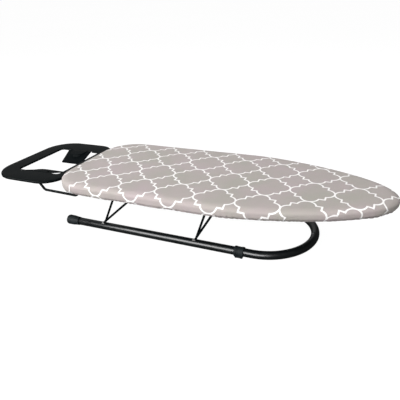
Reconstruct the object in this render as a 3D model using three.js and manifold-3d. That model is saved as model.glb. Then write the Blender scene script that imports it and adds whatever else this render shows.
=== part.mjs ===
import * as THREE from 'three';
import { mergeVertices } from 'three/addons/utils/BufferGeometryUtils.js';
import Module from 'manifold-3d';

const wasm = await Module();
wasm.setup();

// A tabletop ironing board: a padded cloth cover over a perforated steel deck and a bent rim tube,
// a fixed stand of wire legs on a U of tube, and a stamped iron rest on two wires at the square end.
// Millimetres. X runs along the board to its rounded nose, Y across it, Z up from the table.

// Ironing surface, measured over the cloth
const boardLength = 730;
const boardWidth = 311;
const boardHeight = 132;
const noseTaperLength = 320;
const tailCornerRadius = 84;
const crownRise = 1;
const crownInset = 40;

// Exponents of the nose's curve, pure numbers
const noseLengthPower = 1.4;
const noseWidthPower = 2;

// Layers of the board, from the cloth down
const seatGap = 0.3;
const clothThickness = 1.2;
const clothEdgeRadius = 10;
const padThickness = 5;
const deckThickness = 1;
const rimTubeDiameter = 14;
const rimTubeWall = 1;
const rimJointGap = 0.5;

// Hem of the cover, turned in under the rim, with its casing
const hemWidth = 26;
const casingWidth = 9;
const casingHeight = 4;

// Openings of the deck's steel mesh
const meshPitchAlong = 56;
const meshPitchAcross = 30;
const meshStrand = 5;

// Cross bars and stringers under the deck; distances are from the tail
const crossBarWidth = 18;
const crossBarHeight = 8;
const crossBarWall = 1.2;
const tailBarDistance = 92;
const middleBarDistance = 255;
const frontBarDistance = 415;
const noseBarDistance = 560;
const stringerWidth = 16;
const stringerThickness = 2.5;
const stringerInset = 25;
const stringerOverhang = 18;

// Base: a U of tube, open towards the tail
const baseTubeDiameter = 18;
const baseTubeWall = 1.2;
const baseInset = 45.5;
const baseTailInset = 5;
const baseNoseDistance = 578;

// Rubber end caps
const capDiameter = 23;
const capMouthDiameter = 21;
const capLength = 26;
const capEndWall = 5;
const capEdgeRadius = 3.5;
const capMouthChamfer = 1.5;

// Clip-on rubber feet
const footDistance = 444;
const footLength = 21;
const footWall = 2.2;
const footPadWidth = 17;
const footPadShoulder = 6;
const footPadRelief = 1.6;
const footEdgeBevel = 0.8;

// Wire legs
const legWireDiameter = 5;
const legBendRadius = 10;
const tailLegDistance = 112;
const tailUprightReach = 43;
const tailBraceReach = 99;
const noseLegDistance = 345;
const noseUprightReach = 32;
const noseBraceReach = 54;

// Stamped iron rest
const restLength = 198;
const restWidth = 277;
const restDrop = 16;
const restTailGap = 1.5;
const restCornerRadius = 71;
const restTailCornerRadius = 52;
const restSheet = 1.2;
const restEdgeBend = 3;
const restLipHeight = 6;
const restBandEnd = 46;
const restBandTail = 27;
const restBandSide = 55.5;
const restHoleCornerRadius = 8;
const restHoleLipHeight = 4;

// Cradle wings bent down from the rest's side bands, each with a half-round tongue pressed up in its sheet
const wingLength = 76;
const wingTailInset = 25;
const wingDepth = 60;
const wingHeadTaper = 14;
const wingTailFlare = 3;
const wingSlope = THREE.MathUtils.degToRad(18);
const wingCornerRadius = 6;
const wingLap = 0.4;
const wingRootSlit = 1.5;
const tongueHalfWidth = 24;
const tongueDepth = 30;
const tongueTilt = THREE.MathUtils.degToRad(8);

// Wires that carry the iron rest
const restWireDiameter = 6;
const restWireBendRadius = 9;
const restWireDrop = 19.5;
const restWireInset = 11.5;
const restWireHemClearance = 4;
const restWireKinkSpread = 8.5;
const restWireUnderRest = 84;
const restWireRiseDistance = 50;
const restWireRiseRun = 15.5;
const restWireKinkDistance = 66;
const restWireRampRun = 23;
const restWireSeatLap = 12;

// Fineness of curves, in steps, and the overrun of a cut
const noseSteps = 32;
const cornerSteps = 6;
const edgeSteps = 3;
const turnPerStep = THREE.MathUtils.degToRad(15);
const wideTurnPerStep = THREE.MathUtils.degToRad(7.5);
const cutOverrun = 5;

// Heights that follow from the sizes above
const half = { length: boardLength / 2, width: boardWidth / 2 };
const clothAndGap = clothThickness + seatGap;
const crownEdgeHeight = boardHeight - crownRise;
const edgeCentreHeight = crownEdgeHeight - clothEdgeRadius;
const padBottom = crownEdgeHeight - clothAndGap - padThickness;
const deckTop = padBottom - seatGap;
const deckBottom = deckTop - deckThickness;
const rimRadius = rimTubeDiameter / 2;
const rimInset = clothAndGap + rimRadius;
const hemEdgeRadius = rimInset;
const rimCentreHeight = deckBottom - seatGap - rimRadius;
const coverBottom = rimCentreHeight - rimRadius - clothAndGap;
const crossBarTop = deckBottom - seatGap;
const crossBarBottom = crossBarTop - crossBarHeight;
const stringerBottom = crossBarBottom - seatGap - stringerThickness;
const legRadius = legWireDiameter / 2;
const legRunHeight = stringerBottom - seatGap - legRadius;
const baseRadius = baseTubeDiameter / 2;
const baseHeight = capDiameter / 2;
const baseHalfSpacing = half.width - baseInset;
const restTop = boardHeight - restDrop;
const restTail = -half.length - restTailGap;
const restWireRadius = restWireDiameter / 2;

// A place measured from the tail end, as an X of the board
const fromTail = (place) => place - half.length;

// Finishes
function finish(color, roughness, metalness) {
  return new THREE.MeshStandardMaterial({ color, roughness, metalness });
}

const coverCloth = () => finish(0xb9adab, 0.9, 0);
const padFelt = () => finish(0xe4e0d6, 0.95, 0);
const blackPowderCoat = () => finish(0x14171a, 0.45, 0.3);
const greySteel = () => finish(0x8d9195, 0.5, 0.6);
const blackRubber = () => finish(0x101214, 0.8, 0);

// Solids: closed meshes go in and out of the boolean library
function solid(geometry) {
  const bare = geometry.clone();
  bare.deleteAttribute('normal');
  bare.deleteAttribute('uv');
  const merged = mergeVertices(bare);
  return new wasm.Manifold(new wasm.Mesh({
    numProp: 3,
    vertProperties: new Float32Array(merged.attributes.position.array),
    triVerts: new Uint32Array(merged.index.array),
  }));
}

function geometryOf(body) {
  const mesh = body.getMesh();
  const geometry = new THREE.BufferGeometry();
  geometry.setAttribute('position', new THREE.BufferAttribute(mesh.vertProperties, mesh.numProp));
  geometry.setIndex(new THREE.BufferAttribute(mesh.triVerts, 1));
  const flat = geometry.toNonIndexed();
  flat.computeVertexNormals();
  return flat;
}

// Outlines: closed lists of points, anticlockwise from above
function arc(centre, radius, start, turn, steps) {
  const points = [];
  for (let i = 0; i <= steps; i++) {
    const angle = start + turn * i / steps;
    points.push(new THREE.Vector2(
      centre.x + radius * Math.cos(angle),
      centre.y + radius * Math.sin(angle),
    ));
  }
  return points;
}

// Square tail with round corners, straight sides, and a nose that follows a superellipse
function boardOutline() {
  const quarter = Math.PI / 2;
  const cornerX = tailCornerRadius - half.length;
  const cornerY = half.width - tailCornerRadius;
  const near = arc(new THREE.Vector2(cornerX, -cornerY), tailCornerRadius, Math.PI, quarter, cornerSteps);
  const far = arc(new THREE.Vector2(cornerX, cornerY), tailCornerRadius, quarter, quarter, cornerSteps);
  const nose = [];
  for (let i = 0; i <= noseSteps; i++) {
    const turn = -quarter + Math.PI * i / noseSteps;
    const along = Math.max(0, Math.cos(turn)) ** (2 / noseLengthPower);
    const across = Math.sign(turn) * Math.abs(Math.sin(turn)) ** (2 / noseWidthPower);
    nose.push(new THREE.Vector2(
      half.length - noseTaperLength + noseTaperLength * along,
      half.width * across,
    ));
  }
  return [...near, ...nose, ...far];
}

// A rectangle whose four corners are rounded: tail side (low X) and head side (high X) may differ
function roundedRectangle(low, high, lowRadius, highRadius, steps) {
  const quarter = Math.PI / 2;
  const corner = (x, y, radius, start) => arc(new THREE.Vector2(x, y), radius, start, quarter, steps);
  return [
    ...corner(low.x + lowRadius, low.y + lowRadius, lowRadius, Math.PI),
    ...corner(high.x - highRadius, low.y + highRadius, highRadius, -quarter),
    ...corner(high.x - highRadius, high.y - highRadius, highRadius, 0),
    ...corner(low.x + lowRadius, high.y - lowRadius, lowRadius, quarter),
  ];
}

// Each corner moves in along its mitre, so every side moves in by the inset
function insetOutline(points, inset) {
  const count = points.length;
  return points.map((point, i) => {
    const before = points[(i + count - 1) % count];
    const after = points[(i + 1) % count];
    const into = point.clone().sub(before).normalize();
    const out = after.clone().sub(point).normalize();
    const mitre = new THREE.Vector2(-into.y - out.y, into.x + out.x).normalize();
    const stretch = 1 / (-mitre.x * into.y + mitre.y * into.x);
    return point.clone().addScaledVector(mitre, inset * stretch);
  });
}

// The edge of the flat crown: the outline drawn in towards the middle of the board
function crownOutline(points) {
  const drawnIn = 1 - crownInset / half.width;
  return points.map((point) => point.clone().multiplyScalar(drawnIn));
}

// A body built up from rings: each station of the profile insets the outline and sets its height,
// or is the crown's edge. The first ring is closed by a face that looks up, the last by one that looks down.
function loft(outline, profile) {
  const ringOf = ({ inset, crown }) => (crown ? crownOutline(outline) : insetOutline(outline, inset));
  const rings = profile.map((station) => ringOf(station).map((p) => [p.x, p.y, station.z]));
  const count = outline.length;
  const index = [];
  for (let k = 0; k + 1 < rings.length; k++) {
    for (let i = 0; i < count; i++) {
      const next = (i + 1) % count;
      const upper = k * count;
      const lower = upper + count;
      index.push(lower + i, lower + next, upper + next, lower + i, upper + next, upper + i);
    }
  }
  const last = (rings.length - 1) * count;
  for (const [a, b, c] of THREE.ShapeUtils.triangulateShape(ringOf(profile[0]), [])) {
    index.push(a, b, c);
  }
  for (const [a, b, c] of THREE.ShapeUtils.triangulateShape(ringOf(profile.at(-1)), [])) {
    index.push(last + c, last + b, last + a);
  }
  const geometry = new THREE.BufferGeometry();
  geometry.setAttribute('position', new THREE.Float32BufferAttribute(rings.flat(2), 3));
  geometry.setIndex(index);
  const flat = geometry.toNonIndexed();
  flat.computeVertexNormals();
  return flat;
}

// Stations on a round edge of a profile: the angle is measured from straight out, upwards
function roundEdge(centreInset, centreHeight, radius, start, end) {
  const stations = [];
  for (let i = 0; i <= edgeSteps; i++) {
    const angle = start + (end - start) * i / edgeSteps;
    stations.push({
      inset: centreInset - radius * Math.cos(angle),
      z: centreHeight + radius * Math.sin(angle),
    });
  }
  return stations;
}

function shapeOf(points) {
  return new THREE.Shape(points);
}

// A flat plate between two heights, with any holes
function plate(outline, bottom, top, holes = []) {
  const shape = shapeOf(outline);
  shape.holes = holes.map((points) => new THREE.Path(points));
  return new THREE.ExtrudeGeometry(shape, { depth: top - bottom, bevelEnabled: false })
    .translate(0, 0, bottom);
}

// Routes of tube and wire: the section is set exactly at each listed point
class BentRoute extends THREE.Curve {
  constructor(points) {
    super();
    this.points = points;
  }

  getPoint(t, target = new THREE.Vector3()) {
    const place = t * (this.points.length - 1);
    const i = Math.min(Math.floor(place), this.points.length - 2);
    return target.lerpVectors(this.points[i], this.points[i + 1], place - i);
  }

  getPointAt(u, target) {
    return this.getPoint(u, target);
  }

  getTangentAt(u, target = new THREE.Vector3()) {
    const i = Math.round(u * (this.points.length - 1));
    const before = this.points[Math.max(i - 1, 0)];
    const here = this.points[i];
    const after = this.points[Math.min(i + 1, this.points.length - 1)];
    const into = here.clone().sub(before).normalize();
    const out = after.clone().sub(here).normalize();
    return target.copy(into).add(out).normalize();
  }
}

// Corners become round bends of one radius
function bent(corners, bendRadius, stepTurn = turnPerStep) {
  const points = [corners[0].clone()];
  for (let i = 1; i + 1 < corners.length; i++) {
    const into = corners[i].clone().sub(corners[i - 1]).normalize();
    const out = corners[i + 1].clone().sub(corners[i]).normalize();
    const turn = into.angleTo(out);
    const side = out.clone().addScaledVector(into, -into.dot(out)).normalize();
    const start = corners[i].clone().addScaledVector(into, -bendRadius * Math.tan(turn / 2));
    const centre = start.clone().addScaledVector(side, bendRadius);
    const steps = Math.max(2, Math.round(turn / stepTurn));
    for (let k = 0; k <= steps; k++) {
      const angle = turn * k / steps;
      const point = centre.clone()
        .addScaledVector(side, -bendRadius * Math.cos(angle))
        .addScaledVector(into, bendRadius * Math.sin(angle));
      const joins = point.distanceTo(points.at(-1)) < bendRadius * Math.sin(stepTurn) / 1000;
      if (!joins) {
        points.push(point);
      }
    }
  }
  points.push(corners.at(-1).clone());
  return points;
}

function wire(points, radius, wall, segments) {
  const section = new THREE.Shape().absarc(0, 0, radius, 0, 2 * Math.PI, false);
  if (wall) {
    section.holes.push(new THREE.Path().absarc(0, 0, radius - wall, 0, 2 * Math.PI, true));
  }
  return new THREE.ExtrudeGeometry(section, {
    steps: points.length - 1,
    curveSegments: segments,
    extrudePath: new BentRoute(points),
  });
}

const assembly = new THREE.Group();

function place(name, geometry, material) {
  const mesh = new THREE.Mesh(geometry, material);
  mesh.name = name;
  assembly.add(mesh);
  return mesh;
}

const sides = [{ label: 'near', side: -1 }, { label: 'far', side: 1 }];
const outline = boardOutline();

// Cover: one sewn skin over the pad and rim, turned in below, with a casing along the hem's edge
function cover() {
  const quarter = Math.PI / 2;
  const hemCentre = coverBottom + hemEdgeRadius;
  const casingInset = hemWidth - casingWidth;
  return loft(outline, [
    { crown: true, z: boardHeight },
    ...roundEdge(clothEdgeRadius, edgeCentreHeight, clothEdgeRadius, quarter, 0),
    ...roundEdge(hemEdgeRadius, hemCentre, hemEdgeRadius, 0, -quarter),
    { inset: hemWidth, z: coverBottom },
    { inset: hemWidth, z: coverBottom + casingHeight },
    { inset: casingInset, z: coverBottom + casingHeight },
    { inset: casingInset, z: coverBottom + clothThickness },
    ...roundEdge(hemEdgeRadius, hemCentre, hemEdgeRadius - clothThickness, -quarter, 0),
    ...roundEdge(clothEdgeRadius, edgeCentreHeight, clothEdgeRadius - clothThickness, 0, quarter),
    { crown: true, z: boardHeight - clothThickness },
  ]);
}

// Pad: fills the cover down to the deck, its rounded edge following the cloth
function pad() {
  const edgeRadius = clothEdgeRadius - clothAndGap;
  const lowest = Math.asin(THREE.MathUtils.clamp((padBottom - edgeCentreHeight) / edgeRadius, 0, 1));
  return loft(outline, [
    { crown: true, z: boardHeight - clothAndGap },
    ...roundEdge(clothEdgeRadius, edgeCentreHeight, edgeRadius, Math.PI / 2, lowest),
  ]);
}

// Deck: expanded steel mesh, lozenge openings in staggered rows inside a plain border
function deck() {
  const edgeRadius = clothEdgeRadius - clothAndGap;
  const rise = THREE.MathUtils.clamp(deckTop - edgeCentreHeight, 0, edgeRadius);
  const deckInset = clothEdgeRadius - Math.sqrt(edgeRadius ** 2 - rise ** 2);
  const border = insetOutline(outline, rimInset + rimRadius);
  const inside = (point) => border.every((a, i) => {
    const b = border[(i + 1) % border.length];
    return (b.x - a.x) * (point.y - a.y) - (b.y - a.y) * (point.x - a.x) > 0;
  });
  const reach = new THREE.Vector2(meshPitchAlong, meshPitchAcross).divideScalar(2);
  const cellInset = reach.x * reach.y / reach.length();
  reach.multiplyScalar((cellInset - meshStrand / 2) / cellInset);
  const holes = [];
  const columns = Math.ceil(boardLength / meshPitchAlong);
  const rows = Math.ceil(boardWidth / meshPitchAcross);
  for (let column = -columns; column <= columns; column++) {
    for (let row = -rows; row <= rows; row++) {
      if ((column + row) % 2) {
        continue;
      }
      const x = column * meshPitchAlong / 2;
      const y = row * meshPitchAcross / 2;
      const lozenge = [
        new THREE.Vector2(x - reach.x, y),
        new THREE.Vector2(x, y - reach.y),
        new THREE.Vector2(x + reach.x, y),
        new THREE.Vector2(x, y + reach.y),
      ];
      if (lozenge.every(inside)) {
        holes.push(lozenge);
      }
    }
  }
  return plate(insetOutline(outline, deckInset), deckBottom, deckTop, holes);
}

// Rim: one tube bent to the outline, its two ends facing each other in the middle of the tail
function rim() {
  const line = insetOutline(outline, rimInset);
  const tail = line[0].x;
  const route = [
    new THREE.Vector2(tail, -rimJointGap / 2),
    ...line,
    new THREE.Vector2(tail, rimJointGap / 2),
  ];
  return wire(route.map((p) => new THREE.Vector3(p.x, p.y, rimCentreHeight)), rimRadius, rimTubeWall, 5);
}

// Half the clear width between the rim's two sides, at a place along the board
function clearHalfWidth(x) {
  const line = insetOutline(outline, rimInset + rimRadius + seatGap);
  const after = line.findIndex((point) => point.x > x);
  const a = line[after - 1];
  const b = line[after];
  return -THREE.MathUtils.mapLinear(x, a.x, b.x, a.y, b.y);
}

// Cross bar: a steel channel, open side down, between the two sides of the rim
function crossBar(x) {
  const reach = Math.min(clearHalfWidth(x - crossBarWidth / 2), clearHalfWidth(x + crossBarWidth / 2));
  const w = crossBarWidth / 2;
  const inner = w - crossBarWall;
  const channel = shapeOf([
    new THREE.Vector2(-w, crossBarBottom),
    new THREE.Vector2(-inner, crossBarBottom),
    new THREE.Vector2(-inner, crossBarTop - crossBarWall),
    new THREE.Vector2(inner, crossBarTop - crossBarWall),
    new THREE.Vector2(inner, crossBarBottom),
    new THREE.Vector2(w, crossBarBottom),
    new THREE.Vector2(w, crossBarTop),
    new THREE.Vector2(-w, crossBarTop),
  ]);
  return new THREE.ExtrudeGeometry(channel, { depth: 2 * reach, bevelEnabled: false })
    .rotateX(Math.PI / 2)
    .translate(x, reach, 0);
}

// Stringer: a flat bar under the cross bars, from the tail bar to the front bar
function stringer(side) {
  const from = fromTail(tailBarDistance) - stringerOverhang;
  const to = fromTail(frontBarDistance) + stringerOverhang;
  const length = to - from;
  return new THREE.BoxGeometry(length, stringerWidth, stringerThickness)
    .translate(from + length / 2, side * (baseHalfSpacing - stringerInset), stringerBottom + stringerThickness / 2);
}

// Wire leg: both feet stand on the base tube, and its cross run lies under the stringers.
// An upright and a brace share a foot place, side by side on the tube's crown.
function wireLeg(footX, reach, sideShift) {
  const spacing = baseHalfSpacing + sideShift * (legRadius + seatGap / 2);
  const crown = baseHeight + Math.sqrt(baseRadius ** 2 - (legRadius + seatGap / 2) ** 2);
  const lean = Math.atan2(reach, legRunHeight - crown);
  const foot = crown + seatGap + legRadius * Math.sin(lean);
  const corners = [
    new THREE.Vector3(footX, -spacing, foot),
    new THREE.Vector3(footX + reach, -spacing, legRunHeight),
    new THREE.Vector3(footX + reach, spacing, legRunHeight),
    new THREE.Vector3(footX, spacing, foot),
  ];
  return wire(bent(corners, legBendRadius), legRadius, 0, 4);
}

// Base tube: two straight arms joined by a half-round bend under the nose
function baseTube() {
  const tail = fromTail(baseTailInset) + capEndWall + seatGap;
  const nose = fromTail(baseNoseDistance);
  const corner = (x, side) => new THREE.Vector3(x, side * baseHalfSpacing, baseHeight);
  const corners = [corner(tail, -1), corner(nose, -1), corner(nose, 1), corner(tail, 1)];
  return wire(bent(corners, baseHalfSpacing, wideTurnPerStep), baseRadius, baseTubeWall, 6);
}

// Rubber cup over each open end of the base tube, widest at its closed end
function endCap() {
  const outer = capDiameter / 2;
  const mouth = capMouthDiameter / 2;
  const bore = baseRadius + seatGap;
  const edge = arc(
    new THREE.Vector2(outer - capEdgeRadius, capEdgeRadius),
    capEdgeRadius,
    -Math.PI / 2,
    Math.PI / 2,
    edgeSteps,
  );
  const profile = [
    new THREE.Vector2(0, 0),
    ...edge,
    new THREE.Vector2(outer, 2 * capLength / 3),
    new THREE.Vector2(mouth, capLength - capMouthChamfer),
    new THREE.Vector2(mouth - capMouthChamfer, capLength),
    new THREE.Vector2(bore, capLength),
    new THREE.Vector2(bore, capEndWall),
    new THREE.Vector2(0, capEndWall),
  ];
  return new THREE.LatheGeometry(profile, 24).rotateZ(-Math.PI / 2);
}

// Foot: a rubber collar round the tube, with a flat pad that reaches the table under it
function clipFoot() {
  const outer = baseRadius + footWall;
  const bore = baseRadius + seatGap;
  const padHalf = footPadWidth / 2;
  const shoulder = Math.asin((footPadShoulder - baseHeight) / outer);
  const collar = arc(new THREE.Vector2(0, 0), outer - footEdgeBevel, shoulder, Math.PI - 2 * shoulder, 14);
  const profile = shapeOf([
    ...collar,
    new THREE.Vector2(-padHalf + footEdgeBevel, -baseHeight + footEdgeBevel),
    new THREE.Vector2(padHalf - footEdgeBevel, -baseHeight + footEdgeBevel),
  ]);
  const block = new THREE.ExtrudeGeometry(profile, {
    depth: footLength - 2 * footEdgeBevel,
    bevelSize: footEdgeBevel,
    bevelThickness: footEdgeBevel,
    bevelSegments: 1,
  }).translate(0, 0, footEdgeBevel - footLength / 2);
  const hole = new THREE.CylinderGeometry(bore, bore, footLength + 2 * cutOverrun, 20).rotateX(Math.PI / 2);
  const relief = new THREE.BoxGeometry(2 * outer, 2 * footPadRelief, footPadRelief);
  const low = -baseHeight;
  const ends = [-1, 1].map((end) => relief.clone().translate(0, low, end * footLength / 2));
  const body = solid(block).subtract(solid(hole)).subtract(solid(ends[0])).subtract(solid(ends[1]));
  return geometryOf(body).rotateX(Math.PI / 2).rotateZ(Math.PI / 2);
}

// Outline of the iron rest, and of the opening in it
function restOutlines() {
  const head = restTail - restLength;
  const outer = roundedRectangle(
    new THREE.Vector2(head, -restWidth / 2),
    new THREE.Vector2(restTail, restWidth / 2),
    restCornerRadius,
    restTailCornerRadius,
    2 * cornerSteps,
  );
  const holeHalf = restWidth / 2 - restBandSide;
  const hole = roundedRectangle(
    new THREE.Vector2(head + restBandEnd, -holeHalf),
    new THREE.Vector2(restTail - restBandTail, holeHalf),
    restHoleCornerRadius,
    restHoleCornerRadius,
    edgeSteps,
  );
  return { outer, hole, holeHalf };
}

// A slab with a round top edge, from the rest's top down to a given height
function roundTopSlab(points, inset, top, bend, bottom) {
  return loft(points, [
    ...roundEdge(inset + bend, top - bend, bend, Math.PI / 2, 0),
    { inset, z: bottom },
  ]);
}

// The opening's funnel: wide at the top, where the sheet bends down into its lip
function openingFunnel(points, inset, top, bend, bottom) {
  const stations = [];
  for (let i = 0; i <= edgeSteps; i++) {
    const angle = Math.PI / 2 * (1 - i / edgeSteps);
    stations.push({
      inset: inset - bend + bend * Math.cos(angle),
      z: top - bend + bend * Math.sin(angle),
    });
  }
  return loft(points, [{ inset: inset - bend, z: top + cutOverrun }, ...stations, { inset, z: bottom }]);
}

// Wing of the near side: a tapered leaf bent down from the band, drawn from the line where it leaves
// the bend. Its half-round tongue rises from that line to a low wall round its tip.
function wing() {
  const at = (x, y) => new THREE.Vector3(x, y, 0);
  const leaf = shapeOf(bent([
    at(wingLength / 2, -wingLap),
    at(wingLength / 2 + wingTailFlare, wingDepth),
    at(wingHeadTaper - wingLength / 2, wingDepth),
    at(-wingLength / 2, -wingLap),
  ], wingCornerRadius).map((point) => new THREE.Vector2(point.x, point.y)));
  const halfRound = (inset) => {
    const shape = new THREE.Shape();
    shape.absellipse(0, 0, tongueHalfWidth - inset, tongueDepth - inset, 0, Math.PI, false, 0);
    return shape;
  };
  // A half-round column from the given bottom up to the tongue's sloping face, or to one under it
  const column = (inset, bottom, under) => {
    const above = new THREE.BoxGeometry(4 * tongueHalfWidth, 4 * tongueDepth, 2 * tongueDepth)
      .translate(0, 0, tongueDepth)
      .rotateX(tongueTilt)
      .translate(0, 0, -under);
    const upright = { depth: tongueDepth, bevelEnabled: false, curveSegments: 10 };
    const full = new THREE.ExtrudeGeometry(halfRound(inset), upright).translate(0, 0, bottom);
    return solid(full).subtract(solid(above));
  };
  const sheet = { depth: restSheet, bevelEnabled: false, curveSegments: 8 };
  const body = solid(new THREE.ExtrudeGeometry(leaf, sheet).translate(0, 0, -restSheet))
    .add(column(0, -restSheet / 2, 0))
    .subtract(column(restSheet, -restSheet - cutOverrun, restSheet));
  return geometryOf(body);
}

// Iron rest: one stamped sheet with turned-down edges, a large opening and two cradle wings
function ironRest() {
  const { outer, hole, holeHalf } = restOutlines();
  const under = restTop - restSheet;
  const lipBottom = restTop - restLipHeight;
  const holeLipBottom = restTop - restHoleLipHeight;
  const innerBend = restEdgeBend - restSheet;
  const slab = solid(roundTopSlab(outer, 0, restTop, restEdgeBend, lipBottom));
  const hollow = solid(roundTopSlab(outer, restSheet, under, innerBend, lipBottom - cutOverrun));
  const collar = solid(openingFunnel(hole, -restSheet, under, innerBend, lipBottom - 2 * cutOverrun));
  const opening = solid(openingFunnel(hole, 0, restTop, restEdgeBend, lipBottom - 2 * cutOverrun));
  const trim = solid(plate(
    insetOutline(hole, -restEdgeBend),
    lipBottom - cutOverrun,
    holeLipBottom,
  ));
  let body = slab.subtract(hollow.subtract(collar)).subtract(opening).subtract(trim);
  const bendCentre = holeHalf + restEdgeBend;
  const rootY = restEdgeBend * Math.sin(wingSlope) - bendCentre;
  const rootZ = restTop - restEdgeBend * (1 - Math.cos(wingSlope));
  const wingX = restTail - restBandTail - wingTailInset - wingLength / 2;
  const rootCut = new THREE.BoxGeometry(wingLength + 2 * wingRootSlit, bendCentre, 2 * restLipHeight)
    .translate(wingX, rootY + bendCentre / 2, restTop);
  const leaf = wing().rotateX(-wingSlope).translate(wingX, rootY, rootZ);
  for (const { side } of sides) {
    const cutBody = side < 0 ? solid(rootCut) : solid(rootCut).mirror([0, 1, 0]);
    const leafBody = side < 0 ? solid(leaf) : solid(leaf).mirror([0, 1, 0]);
    body = body.subtract(cutBody).add(leafBody);
  }
  return geometryOf(body);
}

// Rest wire: lies under the rest's side band, steps down, runs in below the rim and rises to the tail bar
function restWire(side) {
  const high = restTop - restSheet - seatGap - restWireRadius;
  const low = high - restWireDrop;
  const seat = crossBarBottom - seatGap - restWireRadius;
  const riseStart = fromTail(-restWireRiseDistance);
  const kink = fromTail(restWireKinkDistance);
  const seatEnd = fromTail(tailBarDistance) + crossBarWidth / 2 + restWireSeatLap;
  const underRest = restWidth / 2 - restWireInset;
  const insideHem = half.width - hemWidth - restWireHemClearance - restWireRadius;
  const kinkSpacing = insideHem + restWireKinkSpread;
  const at = (x, spread, z) => new THREE.Vector3(x, side * spread, z);
  return wire(bent([
    at(riseStart - restWireUnderRest, underRest, high),
    at(riseStart, underRest, high),
    at(riseStart + restWireRiseRun, underRest, low),
    at(kink, kinkSpacing, low),
    at(kink + restWireRampRun, insideHem, seat),
    at(seatEnd, insideHem, seat),
  ], restWireBendRadius), restWireRadius, 0, 5);
}

place('fabric_cover', cover(), coverCloth());
place('felt_pad', pad(), padFelt());
place('mesh_deck', deck(), greySteel());
place('rim_tube', rim(), greySteel());

const bars = { tail: tailBarDistance, middle: middleBarDistance, front: frontBarDistance, nose: noseBarDistance };
for (const [label, barDistance] of Object.entries(bars)) {
  place(`cross_bar_${label}`, crossBar(fromTail(barDistance)), blackPowderCoat());
}

place('base_tube', baseTube(), blackPowderCoat());
place('iron_rest', ironRest(), blackPowderCoat());

for (const { label, side } of sides) {
  place(`stringer_${label}`, stringer(side), blackPowderCoat());
  place(`rest_wire_${label}`, restWire(side), blackPowderCoat());
  const cap = place(`end_cap_${label}`, endCap(), blackRubber());
  cap.position.set(fromTail(baseTailInset), side * baseHalfSpacing, baseHeight);
  const foot = place(`clip_foot_${label}`, clipFoot(), blackRubber());
  foot.position.set(fromTail(footDistance), side * baseHalfSpacing, baseHeight);
}

const legs = {
  tail: { foot: tailLegDistance, upright: tailUprightReach, brace: tailBraceReach },
  nose: { foot: noseLegDistance, upright: noseUprightReach, brace: noseBraceReach },
};
for (const [label, leg] of Object.entries(legs)) {
  const foot = fromTail(leg.foot);
  place(`leg_wire_${label}_upright`, wireLeg(foot, leg.upright, -1), blackPowderCoat());
  place(`leg_wire_${label}_brace`, wireLeg(foot, leg.brace, 1), blackPowderCoat());
}

// The origin is on the table, under the middle of the whole object
assembly.position.x = (restTailGap + restLength) / 2;

const ironingBoard = new THREE.Group();
ironingBoard.add(assembly);

export default ironingBoard;
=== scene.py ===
"""Tabletop ironing board, dressed around its packed solids.

The file is laid out as an add-on and is run as a script. Lengths are metres. X runs along the board to its
rounded nose, Y across it and Z up from the table.
"""

import math

import bmesh
import bpy
import numpy as np
from mathutils import Matrix, Vector


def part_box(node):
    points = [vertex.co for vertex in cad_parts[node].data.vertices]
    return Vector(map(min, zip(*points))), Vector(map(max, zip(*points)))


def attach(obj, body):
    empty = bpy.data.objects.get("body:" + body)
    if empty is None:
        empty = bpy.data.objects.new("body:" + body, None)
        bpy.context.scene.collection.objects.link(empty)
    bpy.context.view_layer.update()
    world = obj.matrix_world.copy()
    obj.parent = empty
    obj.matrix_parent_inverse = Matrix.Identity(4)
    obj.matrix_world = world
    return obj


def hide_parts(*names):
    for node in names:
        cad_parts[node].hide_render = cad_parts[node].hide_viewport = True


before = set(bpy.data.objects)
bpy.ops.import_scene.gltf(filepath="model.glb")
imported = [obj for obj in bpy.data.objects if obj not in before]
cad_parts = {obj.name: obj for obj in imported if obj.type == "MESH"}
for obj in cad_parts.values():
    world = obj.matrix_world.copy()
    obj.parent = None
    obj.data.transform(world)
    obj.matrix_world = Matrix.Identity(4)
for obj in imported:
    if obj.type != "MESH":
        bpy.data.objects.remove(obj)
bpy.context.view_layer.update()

bl_info = {
    "name": "Tabletop ironing board",
    "version": (1, 0, 0),
    "blender": (4, 5, 0),
    "location": "3D View > Sidebar > Ironing board",
    "description": "Cloth cover, wire stand, tube base and stamped iron rest of a tabletop ironing board",
    "category": "Add Mesh",
}

BODY = "root"
SIDES = {"near": -1, "far": 1}
MM = 0.001
TURN = 2 * math.pi

# Points closer than this are merged into one
MERGE = 2e-6

# The gap that stands in for a weld or a press fit, as between the solids
SEAT_GAP = 0.0003

# Power of the nose's curve along the board, where 2 would be an ellipse
NOSE_POWER = 1.4

# Lowest and highest corner of every solid, and of those that the larger new pieces stand for
BOXES = {name: np.array(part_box(name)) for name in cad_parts}
COVER_LOW, COVER_HIGH = BOXES["fabric_cover"]
TUBE_LOW, TUBE_HIGH = BOXES["base_tube"]
REST_LOW, REST_HIGH = BOXES["iron_rest"]
PAD_BOTTOM = BOXES["felt_pad"][0][2]

# Height of the cover where its top begins to round over, a little below its middle
COVER_TOP = COVER_HIGH[2] - 0.0007
TUBE_HEIGHT = (TUBE_LOW[2] + TUBE_HIGH[2]) / 2

# Rows of the cover's section: the soft edge, the turn over the pad's edge, the plumb side, the wrap under the rim
SOFT_ROWS, OVER_ROWS, SIDE_ROWS, WRAP_ROWS = 5, 15, 7, 24

# The photograph's view: the camera's place, then its bearing, its height angle and its roll in degrees
CAMERA_PLACE = (0.4077, -0.8042, 0.4795)
CAMERA_ANGLES = (24.29, 25.47, -2.48)


# Meshes


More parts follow.
